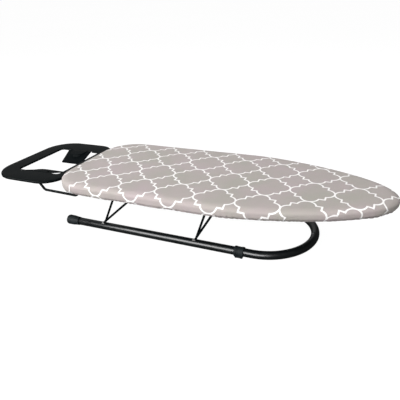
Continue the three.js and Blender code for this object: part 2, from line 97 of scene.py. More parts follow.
def grid_faces(rows, columns, wrap_rows=False, wrap_columns=False):
    """Quads of a grid of points, each joined to the next, and the last to the first where it wraps."""
    r = np.arange(rows if wrap_rows else rows - 1)
    c = np.arange(columns if wrap_columns else columns - 1)
    r0, c0 = np.meshgrid(r, c, indexing="ij")
    r1, c1 = (r0 + 1) % rows, (c0 + 1) % columns
    quads = [r0 * columns + c0, r0 * columns + c1, r1 * columns + c1, r1 * columns + c0]
    return np.stack(quads, axis=-1).reshape(-1, 4)


def piece(name, surfaces, material, stands_for=()):
    """One object from several grids of points, each (points, wrap_rows, wrap_columns, flat or None). The flat has
    four columns: the place in the cloth, then the place along the hem and the depth in a fold, which sets painted
    shade.

    Rows of one point close to poles when doubles merge, and faces are then turned outwards.
    """
    vertices, faces, flats, start = [], [], [], 0
    for points, wrap_rows, wrap_columns, flat in surfaces:
        rows, columns = points.shape[:2]
        faces.append(grid_faces(rows, columns, wrap_rows, wrap_columns) + start)
        vertices.append(points.reshape(-1, 3))
        flats.append(np.zeros((rows * columns, 4)) if flat is None else flat.reshape(-1, 4))
        start += rows * columns
    vertices, faces, flats = np.vstack(vertices), np.vstack(faces), np.vstack(flats)
    mesh = bpy.data.meshes.new(name)
    mesh.from_pydata(vertices.tolist(), [], faces.tolist())
    if any(surface[3] is not None for surface in surfaces):
        corners = np.empty(len(mesh.loops), np.int32)
        mesh.loops.foreach_get("vertex_index", corners)
        for label, pair in (("cloth", flats[:, :2]), ("folds", flats[:, 2:])):
            layer = mesh.uv_layers.new(name=label)
            layer.data.foreach_set("uv", pair[corners].astype(np.float32).ravel())
    shape = bmesh.new()
    shape.from_mesh(mesh)
    bmesh.ops.remove_doubles(shape, verts=shape.verts, dist=MERGE)
    bmesh.ops.recalc_face_normals(shape, faces=shape.faces)
    shape.to_mesh(mesh)
    shape.free()
    mesh.polygons.foreach_set("use_smooth", np.full(len(mesh.polygons), True))
    mesh.materials.append(material)
    made = bpy.data.objects.new(name, mesh)
    bpy.context.scene.collection.objects.link(made)
    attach(made, BODY)
    if stands_for:
        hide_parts(*stands_for)
    return made


def unit(vectors):
    """Each vector divided by its length."""
    return vectors / np.linalg.norm(vectors, axis=-1, keepdims=True)


def run_along(points):
    """The distance run along a line at each of its points."""
    return np.concatenate([[0], np.cumsum(np.linalg.norm(np.diff(points, axis=0), axis=1))])


def even_steps(whole, count):
    """Places in equal steps round a closed run, the first at 0."""
    return np.arange(count) * whole / count


def sampled(line, run, at):
    """The points of a flat line at places along its run."""
    return np.stack([np.interp(at, run, line[:, k]) for k in range(2)], -1)


def eased(share):
    """3 s ** 2 - 2 s ** 3, where s is the share held between 0 and 1."""
    s = np.clip(share, 0, 1)
    return s * s * (3 - 2 * s)


def bell(distance, width):
    """exp(-(distance / width) ** 2): 1 at the middle, and falling away over the width."""
    return np.exp(-(distance / width) ** 2)


def bent(corners, radius, steps):
    """A route through corners: each corner becomes an arc of the radius, tangent to both of its sides."""
    corners = np.asarray(corners, float)
    into = unit(corners[1:-1] - corners[:-2])
    out = unit(corners[2:] - corners[1:-1])
    turn = np.arccos(np.clip((into * out).sum(-1), -1, 1))[:, None, None]
    side = unit(out - into * (into * out).sum(-1, keepdims=True))[:, None]
    start = corners[1:-1, None] - into[:, None] * radius * np.tan(turn / 2)
    angle = turn * np.linspace(0, 1, steps + 1)[None, :, None]
    arcs = start + side * radius * (1 - np.cos(angle)) + into[:, None] * radius * np.sin(angle)
    route = np.vstack([corners[:1], arcs.reshape(-1, 3), corners[-1:]])
    apart = np.linalg.norm(np.diff(route, axis=0), axis=1) > 1e-7
    return route[np.concatenate([[True], apart])]


def tube(route, radius, across, sides):
    """A round section carried along a route: centre + radius (cos a first + sin a second), its ends chamfered by
    0.16 of the radius.

    first is across the route and the given direction, and second is across the route and first.
    """
    along = unit(np.gradient(route, axis=0))
    first = unit(np.cross(along, np.asarray(across, float)))
    second = np.cross(along, first)
    cut = radius * 0.16
    centres = np.vstack([route[:1], route[:1], route[:1] + along[:1] * cut, route[1:-1],
                         route[-1:] - along[-1:] * cut, route[-1:], route[-1:]])
    first, second = (np.pad(way, ((2, 2), (0, 0)), mode="edge") for way in (first, second))
    radii = np.full(len(centres), radius)
    radii[[0, -1]] = 0
    radii[[1, -2]] = radius - cut
    a = even_steps(TURN, sides)
    ring = np.cos(a)[None, :, None] * first[:, None] + np.sin(a)[None, :, None] * second[:, None]
    return centres[:, None] + ring * radii[:, None, None], False, True, None


def rounded_corners(corners, radii, arc_steps, side_shares):
    """A closed outline with a round at each corner, and its outward normals.

    corners run anticlockwise. side_shares[i] are places along the side that follows corner i.
    """
    points, normals = [], []
    count = len(corners)
    corners = np.asarray(corners, float)
    radii = np.asarray(radii, float)
    into = unit(corners - np.roll(corners, 1, axis=0))
    out = unit(np.roll(corners, -1, axis=0) - corners)
    turn = np.arccos(np.clip((into * out).sum(-1), -1, 1))
    reach = radii * np.tan(turn / 2)
    starts, ends = corners - into * reach[:, None], corners + out * reach[:, None]
    inward = np.stack([-into[:, 1], into[:, 0]], -1)
    for i in range(count):
        a = np.linspace(0, turn[i], arc_steps + 1)[:, None]
        normal = -inward[i] * np.cos(a) + into[i] * np.sin(a)
        points.append(starts[i] + inward[i] * radii[i] + normal * radii[i])
        normals.append(normal)
        share = np.asarray(side_shares[i], float)[:, None]
        points.append(ends[i] * (1 - share) + starts[(i + 1) % count] * share)
        normals.append(np.repeat(np.array([[out[i, 1], -out[i, 0]]]), len(share), axis=0))
    return np.vstack(points), np.vstack(normals)


def resampled(points, count):
    """A closed line set out again in equal steps, with the outward normal at each."""
    closed = np.vstack([points, points[:1]])
    length = run_along(closed)
    keep = np.concatenate([[True], np.diff(length) > 1e-9])
    closed, length = closed[keep], length[keep]
    even = sampled(closed, length, even_steps(length[-1], count))
    along = unit(np.roll(even, -1, axis=0) - np.roll(even, 1, axis=0))
    return even, np.stack([along[:, 1], -along[:, 0]], -1), length[-1]


# Materials


class Nodes:
    """A short way to write the nodes of a tree. Each method gives the output of the node that it adds."""

    def __init__(self, tree):
        self.tree = tree

    def put(self, value, socket):
        if isinstance(value, bpy.types.NodeSocket):
            self.tree.links.new(value, socket)
        else:
            socket.default_value = value

    def node(self, kind, inputs=(), **settings):
        made = self.tree.nodes.new(kind)
        for key, value in settings.items():
            setattr(made, key, value)
        for key, value in dict(inputs).items():
            self.put(value, made.inputs[key])
        return made

    def maths(self, operation, *values):
        made = self.node("ShaderNodeMath", operation=operation)
        for socket, value in zip(made.inputs, values):
            self.put(value, socket)
        return made.outputs[0]

    def ramp(self, value, low, high, out_low=0.0, out_high=1.0, smooth=False):
        kind = "SMOOTHSTEP" if smooth else "LINEAR"
        inputs = {"Value": value, "From Min": low, "From Max": high, "To Min": out_low, "To Max": out_high}
        return self.node("ShaderNodeMapRange", inputs, interpolation_type=kind).outputs["Result"]

    def mix(self, share, first, second):
        made = self.node("ShaderNodeMix", data_type="RGBA")
        for socket, value in zip([made.inputs[0], made.inputs[6], made.inputs[7]], (share, first, second)):
            self.put(value, socket)
        return made.outputs[2]

    def noise(self, place, scale, detail, rough=0.5):
        inputs = {"Vector": place, "Scale": scale, "Detail": detail, "Roughness": rough}
        return self.node("ShaderNodeTexNoise", inputs).outputs["Fac"]

    def bump(self, height, depth, strength):
        inputs = {"Height": height, "Distance": depth, "Strength": strength}
        return self.node("ShaderNodeBump", inputs).outputs["Normal"]

    def stretched(self, place, scale):
        return self.node("ShaderNodeMapping", {"Vector": place, "Scale": scale}).outputs["Vector"]

    def split(self, vector):
        return self.node("ShaderNodeSeparateXYZ", {"Vector": vector}).outputs

    def flat(self, name):
        return self.node("ShaderNodeUVMap", uv_map=name).outputs["UV"]

    def place(self):
        return self.node("ShaderNodeTexCoord").outputs["Object"]

    def greys(self, value, stops):
        """A grey that runs through stops, each a place and a level."""
        made = self.node("ShaderNodeValToRGB", {"Fac": value})
        elements = made.color_ramp.elements
        for k, (at, level) in enumerate(stops):
            stop = elements[k] if k < 2 else elements.new(at)
            stop.position, stop.color = at, (level, level, level, 1)
        return made.outputs["Color"]


class Finish(Nodes):
    """One material and its nodes."""

    def __init__(self, name):
        self.material = bpy.data.materials.new(name)
        self.material.use_nodes = True
        super().__init__(self.material.node_tree)
        self.tree.nodes.clear()
        self.shader = self.node("ShaderNodeBsdfPrincipled")
        self.node("ShaderNodeOutputMaterial", {"Surface": self.shader.outputs["BSDF"]})

    def set(self, **values):
        names = {"color": "Base Color", "roughness": "Roughness", "metallic": "Metallic", "normal": "Normal",
                 "sheen": "Sheen Weight", "sheen_roughness": "Sheen Roughness", "coat": "Coat Weight",
                 "coat_roughness": "Coat Roughness", "specular": "Specular IOR Level",
                 "glow_color": "Emission Color", "glow": "Emission Strength"}
        for key, value in values.items():
            self.put(value, self.shader.inputs[names[key]])
        return self.material


def tone(red, green, blue):
    """A colour given as it looks on screen, 0 to 255, as the linear values that shaders take."""
    share = np.array([red, green, blue]) / 255
    linear = np.where(share <= 0.04045, share / 12.92, ((share + 0.055) / 1.055) ** 2.4)
    return (*linear, 1.0)


def printed_cotton(look):
    """Plain-weave cotton with a trellis of barbed four-lobed cells printed in off-white.

    In a cell one pitch wide, with a and b the larger and smaller distance from its centre, the outline is
    min(distance to the lobe circle, a - half side) = 0, and the line is where that is under half its width.
    """
    s = Finish("printed_cotton")
    uv = s.flat("cloth")
    x, y = s.split(uv)[:2]
    wobble = s.noise(uv, 60.0, detail=2.0)
    wobble = s.maths("MULTIPLY", s.maths("SUBTRACT", wobble, 0.5), look.line_wobble)
    cell = []
    for value, start, pitch in ((x, look.start_along, look.pitch_along), (y, look.start_across, look.pitch_across)):
        scaled = s.maths("DIVIDE", s.maths("SUBTRACT", value, start), pitch)
        cell.append(s.maths("PINGPONG", scaled, 0.5))
    large = s.maths("MAXIMUM", *cell)
    small = s.maths("MINIMUM", *cell)
    lobe = s.maths("SUBTRACT", large, look.lobe_place)
    lobe = s.maths("ADD", s.maths("MULTIPLY", lobe, lobe), s.maths("MULTIPLY", small, small))
    lobe = s.maths("SUBTRACT", s.maths("SQRT", lobe), look.lobe_radius)
    square = s.maths("SUBTRACT", large, look.barb_place)
    away = s.maths("ABSOLUTE", s.maths("MINIMUM", lobe, square))
    away = s.maths("ADD", away, wobble)
    half, soft = look.line_width / 2, look.line_softness
    line = s.ramp(away, half - soft, half + soft, 1.0, 0.0, smooth=True)
    patch = s.noise(uv, 9.0, detail=3.0, rough=0.55)
    heather = s.noise(uv, 900.0, detail=2.0, rough=0.6)
    ground = s.mix(s.ramp(patch, 0.35, 0.65), look.ground_warm, look.ground_cool)
    ground = s.mix(s.ramp(heather, 0.3, 0.7, 0.0, 0.22), ground, look.ground_dark)
    threads = []
    for value, other in ((x, y), (y, x)):
        wave = s.maths("SINE", s.maths("MULTIPLY", value, TURN / look.thread))
        over = s.maths("SINE", s.maths("MULTIPLY", other, TURN / 2 / look.thread))
        threads.append(s.maths("MULTIPLY", s.maths("ABSOLUTE", wave), s.maths("ABSOLUTE", over)))
    weave = s.maths("ADD", *threads)
    # Painted shade: the fold depth darkens the cloth in the seam's groove, on the hem below it and in the creases
    # between gathers
    fold = s.split(s.flat("folds"))[1]
    shade = s.maths("MULTIPLY", s.ramp(weave, 0.0, 1.2, 0.93, 1.03), s.ramp(fold, 0.0, 1.0, 1.0, 1 - look.fold_shade))
    colour = s.mix(line, ground, look.line_colour)
    scaled = s.node("ShaderNodeVectorMath", operation="SCALE")
    s.put(colour, scaled.inputs[0])
    s.put(shade, scaled.inputs["Scale"])
    height = s.maths("ADD", s.maths("MULTIPLY", weave, 0.8), s.maths("MULTIPLY", heather, 0.5))
    normal = s.bump(height, 0.00012, 0.55)
    rough = s.ramp(line, 0.0, 1.0, 0.92, 0.78)
    return s.set(color=scaled.outputs[0], roughness=rough, normal=normal, sheen=0.12, sheen_roughness=0.5,
                 specular=0.25)


def powder_coat(look, name, roughness, gloss):
    """Black powder coat: fine orange peel, uneven gloss and a little wear of the black to grey."""
    s = Finish(name)
    at = s.place()
    peel = s.noise(at, 1400.0, detail=2.0, rough=0.5)
    cloud = s.noise(at, 35.0, detail=4.0, rough=0.6)
    speck = s.noise(at, 420.0, detail=1.0, rough=0.4)
    colour = s.mix(s.ramp(cloud, 0.3, 0.75), look.coat_dark, look.coat_light)
    colour = s.mix(s.ramp(speck, 0.70, 0.76, 0.0, 0.35), colour, look.coat_worn)
    rough = s.ramp(cloud, 0.25, 0.8, roughness - 0.05, roughness + 0.08)
    return s.set(color=colour, roughness=rough, normal=s.bump(peel, 0.00006, 0.5 - 0.3 * gloss), specular=gloss,
                 coat=0.2 * gloss, coat_roughness=0.25)


def moulded_rubber(look):
    """Black rubber: matte, with a fine grain and a faint grey bloom."""
    s = Finish("moulded_rubber")
    at = s.place()
    grain = s.noise(at, 1800.0, detail=3.0, rough=0.6)
    bloom = s.noise(at, 60.0, detail=3.0, rough=0.6)
    colour = s.mix(s.ramp(bloom, 0.35, 0.75), look.rubber_dark, look.rubber_bloom)
    rough = s.ramp(grain, 0.3, 0.7, 0.5, 0.68)
    return s.set(color=colour, roughness=rough, normal=s.bump(grain, 0.00008, 0.6), specular=0.22)


def grey_paint():
    """Thin grey paint on steel, with drawn lines showing through and small chips."""
    s = Finish("grey_paint")
    at = s.place()
    drawn = s.noise(s.stretched(at, (30.0, 900.0, 900.0)), 1.0, detail=3.0, rough=0.6)
    cloud = s.noise(at, 45.0, detail=3.0, rough=0.55)
    chip = s.noise(at, 260.0, detail=2.0, rough=0.5)
    colour = s.mix(s.ramp(cloud, 0.3, 0.7), tone(132, 136, 138), tone(160, 163, 165))
    colour = s.mix(s.ramp(chip, 0.72, 0.76), colour, tone(96, 92, 88))
    rough = s.ramp(drawn, 0.3, 0.7, 0.38, 0.55)
    return s.set(color=colour, roughness=rough, metallic=0.55, normal=s.bump(drawn, 0.00004, 0.4))


def needled_felt():
    """Off-white needled felt: tangled fibres, small pits and darker flecks."""
    s = Finish("needled_felt")
    at = s.place()
    fibre = s.noise(s.stretched(at, (1.0, 3.0, 1.0)), 700.0, detail=4.0, rough=0.7)
    cross = s.noise(s.stretched(at, (3.0, 1.0, 1.0)), 600.0, detail=4.0, rough=0.7)
    tangle = s.maths("MULTIPLY", fibre, cross)
    fleck = s.noise(at, 330.0, detail=1.0, rough=0.5)
    colour = s.mix(s.ramp(tangle, 0.12, 0.38), tone(196, 192, 184), tone(228, 225, 218))
    colour = s.mix(s.ramp(fleck, 0.72, 0.78, 0.0, 0.6), colour, tone(120, 118, 122))
    return s.set(color=colour, roughness=0.95, normal=s.bump(tangle, 0.0005, 0.7), sheen=0.2,
                 sheen_roughness=0.6, specular=0.2)


def bare_weld():
    """Weld metal: rippled, bright on its crest and browned where it cooled."""
    s = Finish("weld_metal")
    at = s.place()
    ripple = s.noise(at, 900.0, detail=2.0, rough=0.5)
    heat = s.noise(at, 220.0, detail=2.0, rough=0.5)
    colour = s.mix(s.ramp(heat, 0.35, 0.7), tone(150, 150, 149), tone(96, 90, 86))
    return s.set(color=colour, roughness=s.ramp(ripple, 0.3, 0.7, 0.3, 0.5), metallic=0.3,
                 normal=s.bump(ripple, 0.0003, 0.7))


def studio_floor(look):
    """Pale matte sheet of a light table, with the faintest tooth."""
    s = Finish("studio_paper")
    at = s.place()
    tooth = s.noise(at, 120.0, detail=3.0, rough=0.6)
    colour = s.mix(s.ramp(tooth, 0.3, 0.7, 0.0, 0.15), look.floor_colour, tone(84, 84, 84))
    return s.set(color=colour, roughness=0.9, normal=s.bump(tooth, 0.0001, 0.15), specular=0.1,
                 glow_color=tone(255, 255, 255), glow=look.floor_glow)


LIBRARY = {}


def finish_of(kind):
    """The one material of each finish, made when it is first asked for."""
    if kind not in LIBRARY:
        scene = bpy.context.scene
        makers = {
            "cotton": lambda: printed_cotton(scene.trellis_print),
            "satin": lambda: powder_coat(scene.dark_finishes, "satin_black", scene.dark_finishes.satin, 0.08),
            "gloss": lambda: powder_coat(scene.dark_finishes, "gloss_black", scene.dark_finishes.gloss, 1.0),
            "rubber": lambda: moulded_rubber(scene.dark_finishes),
            "paint": grey_paint,
            "felt": needled_felt,
            "weld": bare_weld,
            "paper": lambda: studio_floor(scene.studio),
        }
        LIBRARY[kind] = makers[kind]()
    return LIBRARY[kind]


# Settings


def number(name, text, default, **limits):
    """A setting with a label, a description and a default. The next four are kinds of it."""
    return bpy.props.FloatProperty(name=name, description=text, default=default, **limits)


def metres(name, text, default, low=0.0):
    return number(name, text, default, min=low, max=2.0, subtype="DISTANCE", unit="LENGTH", precision=4)


def portion(name, text, default):
    return number(name, text, default, min=0.0, max=1.0, subtype="FACTOR")


def degrees(name, text, default):
    return number(name, text, math.radians(default), subtype="ANGLE")


def watts(name, text, default):
    return number(name, text, default, subtype="POWER")


def swatch(name, text, default):
    return bpy.props.FloatVectorProperty(name=name, description=text, default=default, size=4, min=0, max=1,
                                         subtype="COLOR")


class TrellisPrint(bpy.types.PropertyGroup):
    """The printed trellis and the cloth it is on."""

    pitch_along: metres("Pitch along", "Distance between cells along the board", 0.087)
    pitch_across: metres("Pitch across", "Distance between cells across the board", 0.0886)
    start_along: metres("Start along", "Place of one cell's centre along the board", 0.30405, -1)
    start_across: metres("Start across", "Place of one cell's centre across the board", -0.0339, -1)
    lobe_place: portion("Lobe place", "Centre of each lobe, in pitches", 0.3)
    lobe_radius: portion("Lobe radius", "Radius of each lobe, in pitches", 0.2)
    barb_place: portion("Barb place", "Half side of the square whose corners are the barbs, in pitches", 0.33)
    line_width: portion("Line width", "Width of the printed line, in pitches", 0.040)
    line_softness: portion("Line softness", "Half width of the line's soft edge, in pitches", 0.004)
    line_wobble: portion("Line wobble", "How far the line's edge wanders, in pitches", 0.003)
    thread: metres("Thread", "Distance between threads of the weave", 0.0006)
    # Painted shade in the hem's folds: how much the fold depth darkens the cloth
    fold_shade: portion("Fold shade", "How much darker the cloth is deep in the hem's folds", 0.45)
    line_colour: swatch("Line", "Colour of the printed line", tone(252, 250, 249))
    ground_warm: swatch("Warm ground", "Warmer colour of the ground", tone(186, 173, 174))
    ground_cool: swatch("Cool ground", "Cooler colour of the ground", tone(175, 171, 163))
    ground_dark: swatch("Dark thread", "Colour of the ground's darker threads", tone(150, 141, 139))


class ClothCover(bpy.types.PropertyGroup):
    """The sewn cover and the pad in it."""

    nose_taper: metres("Nose taper", "Length over which the board narrows to its nose", 0.320)
    tail_corner: metres("Tail corner", "Radius of the square end's corners", 0.084)
    soft_edge: metres("Soft edge", "How far in from the side the top begins to round over", 0.042)
    settle: metres("Settle", "How far the padded top has sunk by the time it reaches the side", 0.0020)
    edge_width: metres("Edge width", "How far in from the side the cloth turns down over the pad's edge", 0.018)
    edge_height: metres("Edge height", "Height over which it turns down", 0.0085)
    edge_power: number("Edge power", "Power of that turn: 2 is an ellipse", 2.3, min=2, max=6)
    tube_wrap: metres("Tube wrap", "Radius at which the cloth goes round under the rim", 0.0072)
    nose_wrap: metres("Nose wrap", "The same radius at the nose, where the hem is drawn in tighter", 0.0095)
    nose_start: metres("Nose wrap's start", "Where along the board that radius begins to grow", 0.08, -1)
    hem: metres("Hem", "Width of the band turned in under the rim", 0.026)
    casing: metres("Casing", "Radius of the drawstring's casing", 0.0024)
    cloth: metres("Cloth", "Thickness of the cloth with its backing", 0.0012)
    seam: metres("Seam", "Depth of the seam that closes the hem", 0.0017)
    seam_rise: metres("Seam rise", "Height of the seam over the cover's underside", 0.0034)
    hem_roll: metres("Hem roll", "How far the hem swells out under its seam", 0.0008)
    sag: metres("Sag", "How far the hem hangs lower towards the square end", 0.0022)
    sag_end: metres("Sag's end", "Where along the board the hem stops hanging lower", 0.20, -1)
    pucker: metres("Pucker", "Height of the gathers at the nose and the corners", 0.0026)
    ease: metres("Ease", "Height of the slow waves along the sides", 0.0006)


class WireStand(bpy.types.PropertyGroup):
    """Tube and wires of the stand and of the iron rest's carrier."""

    tube_radius: metres("Tube radius", "Radius of the base tube", 0.009)
    leg_radius: metres("Leg wire radius", "Radius of the leg wires", 0.0025)
    leg_bend: metres("Leg bend", "Radius of the leg wires' bends", 0.010)
    rest_wire_radius: metres("Rest wire radius", "Radius of the wires under the iron rest", 0.003)
    rest_wire_bend: metres("Rest wire bend", "Radius of the bends of these wires", 0.009)


class StampedRest(bpy.types.PropertyGroup):
    """The stamped iron rest."""

    head_corner: metres("Head corner", "Radius of the outer corners away from the board", 0.071)
    tail_corner: metres("Tail corner", "Radius of the outer corners by the board", 0.052)
    sheet: metres("Sheet", "Thickness of the sheet", 0.0012)
    bend: metres("Bend", "Outer radius of the turned-down edges", 0.003)
    outer_lip: metres("Outer lip", "Height of the outer edge", 0.006)
    hole_lip: metres("Opening lip", "Height of the opening's edge", 0.004)
    band_head: metres("Head band", "Width of the band away from the board", 0.046)
    band_tail: metres("Tail band", "Width of the band by the board", 0.027)
    band_side: metres("Side band", "Width of the two side bands", 0.0555)
    hole_corner: metres("Opening corner", "Radius of the opening's corners", 0.008)
    wing_length: metres("Wing length", "Length of each wing where it leaves its band", 0.076)
    wing_inset: metres("Wing inset", "Distance from the opening's tail side to a wing", 0.025)
    wing_depth: metres("Wing depth", "Depth of each wing along its slope", 0.060)
    wing_head_taper: metres("Head taper", "How much a wing narrows on its head side", 0.014)
    wing_tail_flare: metres("Tail flare", "How much a wing widens on its tail side", 0.003)
    wing_corner: metres("Wing corner", "Radius of a wing's free corners", 0.006)
    wing_slope: degrees("Wing slope", "Fall of the wings", 18)
    wing_margin: metres("Wing margin", "How far a wing's flattened root runs past the wing's ends", 0.0015)
    tongue_half: metres("Tongue half width", "Half the width of the half-round swelling on a wing", 0.024)
    tongue_depth: metres("Tongue depth", "Depth of that swelling", 0.030)
    tongue_tilt: degrees("Tongue tilt", "Rise of the swelling from its wing", 8)


class DarkFinishes(bpy.types.PropertyGroup):
    """Black powder coat and black rubber."""

    coat_dark: swatch("Dark coat", "Darkest colour of the coat", tone(5, 9, 11))
    coat_light: swatch("Light coat", "Lightest colour of the coat", tone(12, 17, 18))
    coat_worn: swatch("Worn coat", "Colour of the small worn specks", tone(70, 72, 72))
    satin: portion("Satin", "Roughness of the coat on stamped parts and wires", 0.42)
    gloss: portion("Gloss", "Roughness of the coat on the base tube", 0.3)
    rubber_dark: swatch("Rubber", "Colour of the rubber", tone(16, 21, 23))
    rubber_bloom: swatch("Bloom", "Colour of its bloom", tone(38, 44, 46))


class Studio(bpy.types.PropertyGroup):
    """Floor, light and camera."""

    floor_colour: swatch("Floor", "Colour of the floor", tone(90, 90, 90))
    floor_glow: number("Floor glow", "Light that comes up through the floor", 0.97, min=0)
    sky: number("Walls", "Brightness of the walls", 0.05)
    under: number("Table", "Brightness that comes up from the table", 0.04)
    back: number("Backdrop", "Brightness of the wall behind the iron rest", 0.30)
    key: watts("Key", "Power of the overhead light", 37.0)
    fill: watts("Fill", "Power of the light that fills the nose's side", 12.0)
    softbox: watts("Softbox", "Power of the large front light", 205.0)
    lens: number("Lens", "Focal length in millimetres", 37.377)


# Cover and pad


def board_outline(c, count):
    """The board's outline: a square tail with round corners, straight sides and a nose where
    (x / taper) ** NOSE_POWER + (y / half width) ** 2 = 1. Anticlockwise, in equal steps, with the spine beside it:
    the line down the board's middle on which the rings of the top close, 0.8 and 0.9 of the half width short of
    the ends."""
    tail, nose, half = COVER_LOW[0], COVER_HIGH[0], COVER_HIGH[1]
    quarter = np.linspace(0, math.pi / 2, 200)
    r, fine = c.tail_corner, np.linspace(-math.pi / 2, math.pi / 2, 3000)
    near = np.stack([tail + r - r * np.cos(quarter), -half + r - r * np.sin(quarter)], -1)
    cap = np.stack([nose - c.nose_taper * (1 - np.cos(fine) ** (2 / NOSE_POWER)), half * np.sin(fine)], -1)
    far = near[::-1] * (1, -1)
    outline, normal, total = resampled(np.vstack([[[tail, 0]], near, cap, far]), count)
    spine = np.stack([np.clip(outline[:, 0], tail + 0.8 * half, nose - 0.9 * half), np.zeros(count)], -1)
    return outline, normal, spine, total


def fall_of(c, inset):
    """How far the cloth lies below the top at an inset from the side: settle x ** 2.5, where x runs from 0 at the
    soft edge to 1 at the side, and on the turn a superellipse (u ** power + v ** power = 1)."""
    x = np.clip(1 - inset / c.soft_edge, 0, 1)
    u = np.clip(1 - inset / c.edge_width, 0, 1)
    return c.settle * x ** 2.5 + c.edge_height * (1 - (1 - u ** c.edge_power) ** (1 / c.edge_power))


def edge_profile(c, wrap):
    """Stations of the cover's section, as rows of inset and height. The outer ones run from the soft edge down a
    plumb side, round the rim in a quarter circle, along the hem and round its casing. The inner ones run back
    inside them, a cloth's thickness in."""
    bottom, plumb = COVER_LOW[2], COVER_TOP - c.settle - c.edge_height
    turn = np.sin(np.linspace(0, math.pi / 2, OVER_ROWS)) ** (2 / c.edge_power)
    soft = np.linspace(c.soft_edge, c.edge_width, SOFT_ROWS + 1)[:-1]
    inset = np.concatenate([soft, c.edge_width * (1 - turn)])
    over = np.stack([inset, COVER_TOP - fall_of(c, inset)], -1)
    centre = bottom + wrap
    side = np.stack([np.zeros(SIDE_ROWS), np.linspace(plumb, centre, SIDE_ROWS + 1)[1:]], -1)
    a = np.linspace(0, -math.pi / 2, WRAP_ROWS + 1)[1:]
    under = np.stack([wrap * (1 - np.cos(a)), centre + wrap * np.sin(a)], -1)
    edge, arch = c.hem - 2 * c.casing, 0.5 * MM
    band = np.linspace(wrap, edge, 5)[1:]
    turned = np.stack([band, bottom + arch * np.sin((band - wrap) / (edge - wrap) * math.pi)], -1)
    a = np.linspace(-math.pi / 2, math.pi, 11)[1:]
    roll = np.stack([c.hem - c.casing + c.casing * np.cos(a), bottom + c.casing * (1 + np.sin(a))], -1)
    outer = np.vstack([over, side, under, turned, roll])
    t = c.cloth
    within = c.soft_edge * np.array([0.02, 0.06, 0.12, 0.25, 0.5, 1.0])
    inner = np.vstack([
        [[c.hem - 2.2 * c.casing, bottom + t], [wrap, bottom + t],
         [wrap * 0.3 + t, bottom + t + wrap * 0.3], [t, centre], [t, plumb]],
        np.stack([within + t, COVER_TOP - fall_of(c, within) - t], -1),
    ])
    return outer, inner


def waves(place, length, shortest, longest, count, seed):
    """A sum of sines of random phase whose wavelengths divide the outline's length, scaled to lie mostly between
    -1 and 1."""
    draw = np.random.default_rng(seed)
    low, high = int(length / longest), int(length / shortest)
    turns = draw.integers(low, high + 1, count)
    phase = draw.uniform(0, TURN, count)
    weight = draw.uniform(0.5, 1.0, count)
    total = (weight * np.sin(TURN * place[..., None] / length * turns + phase)).sum(-1)
    return total / weight.sum() * 1.8


def gathered(c, normal, above, place, total):
    """How far the cloth stands out along its section's normal, and how deep it lies in a fold, from 0 to 1, which
    sets the painted shade in the hem's folds.

    The gathers are pillows |wave| ** 0.6 between creases, low on the side and strongest where the outline turns,
    with slow waves over all of it. The seam is a bell-shaped groove that wanders, and the hem swells below it.
    """
    # Heights over the cover's underside at which the gathers begin, and over which they grow to their full height
    gather_top, gather_run = 15 * MM, 13 * MM
    # Widths of the seam's groove and of the roll, how far the roll lies below the seam, and the widths of the painted
    # shade at the seam and below it
    groove, roll, roll_drop = 1.1 * MM, 1.3 * MM, 2.4 * MM
    shade, hem_shade = 1.2 * MM, 2 * MM
    turning = np.abs(np.cross(normal, np.roll(normal, -1, axis=0)))
    side = 15
    window = np.hanning(2 * side + 1)
    bend = np.convolve(np.concatenate([turning[-side:], turning, turning[:side]]), window / window.sum(), "valid")
    tight = np.clip(bend / bend.max(), 0, 1) ** 0.45
    tight = np.maximum(tight, 0.35 + 0.25 * waves(place, total, 0.09, 0.3, count=7, seed=11))
    low_down = eased((gather_top - above) / gather_run)
    fine = waves(place + 0.45 * above, total, 0.016, 0.038, count=20, seed=7)
    slow = waves(place, total, 0.05, 0.16, count=9, seed=3)
    pillow = np.abs(fine) ** 0.6
    bulge = low_down * c.pucker * tight * (pillow * 1.2 - 0.4) + (0.25 + 0.75 * low_down) * c.ease * slow
    seam_at = c.seam_rise + 0.4 * MM * slow + 0.5 * MM * waves(place, total, 0.02, 0.05, count=12, seed=5)
    strength = 0.6 + 0.4 * waves(place, total, 0.03, 0.09, count=10, seed=9)
    outside = np.arange(len(above))[:, None] < SOFT_ROWS + OVER_ROWS + SIDE_ROWS + WRAP_ROWS - 1
    bulge -= outside * c.seam * strength * bell(above - seam_at, groove)
    bulge += outside * c.hem_roll * bell(above - seam_at + roll_drop, roll)
    bulge[:4] *= np.array([0, 0.25, 0.5, 0.75])[:, None]
    # Painted shade: the fold depth is highest in the seam's groove, grows over the hem below it and deepens in the
    # creases between gathers
    folds = strength * (bell(above - seam_at, shade) + 0.8 * np.clip((seam_at - above) / hem_shade, 0, 1))
    folds = outside * np.clip(folds + 0.5 * low_down * tight * (1 - pillow), 0, 1)
    return bulge, folds


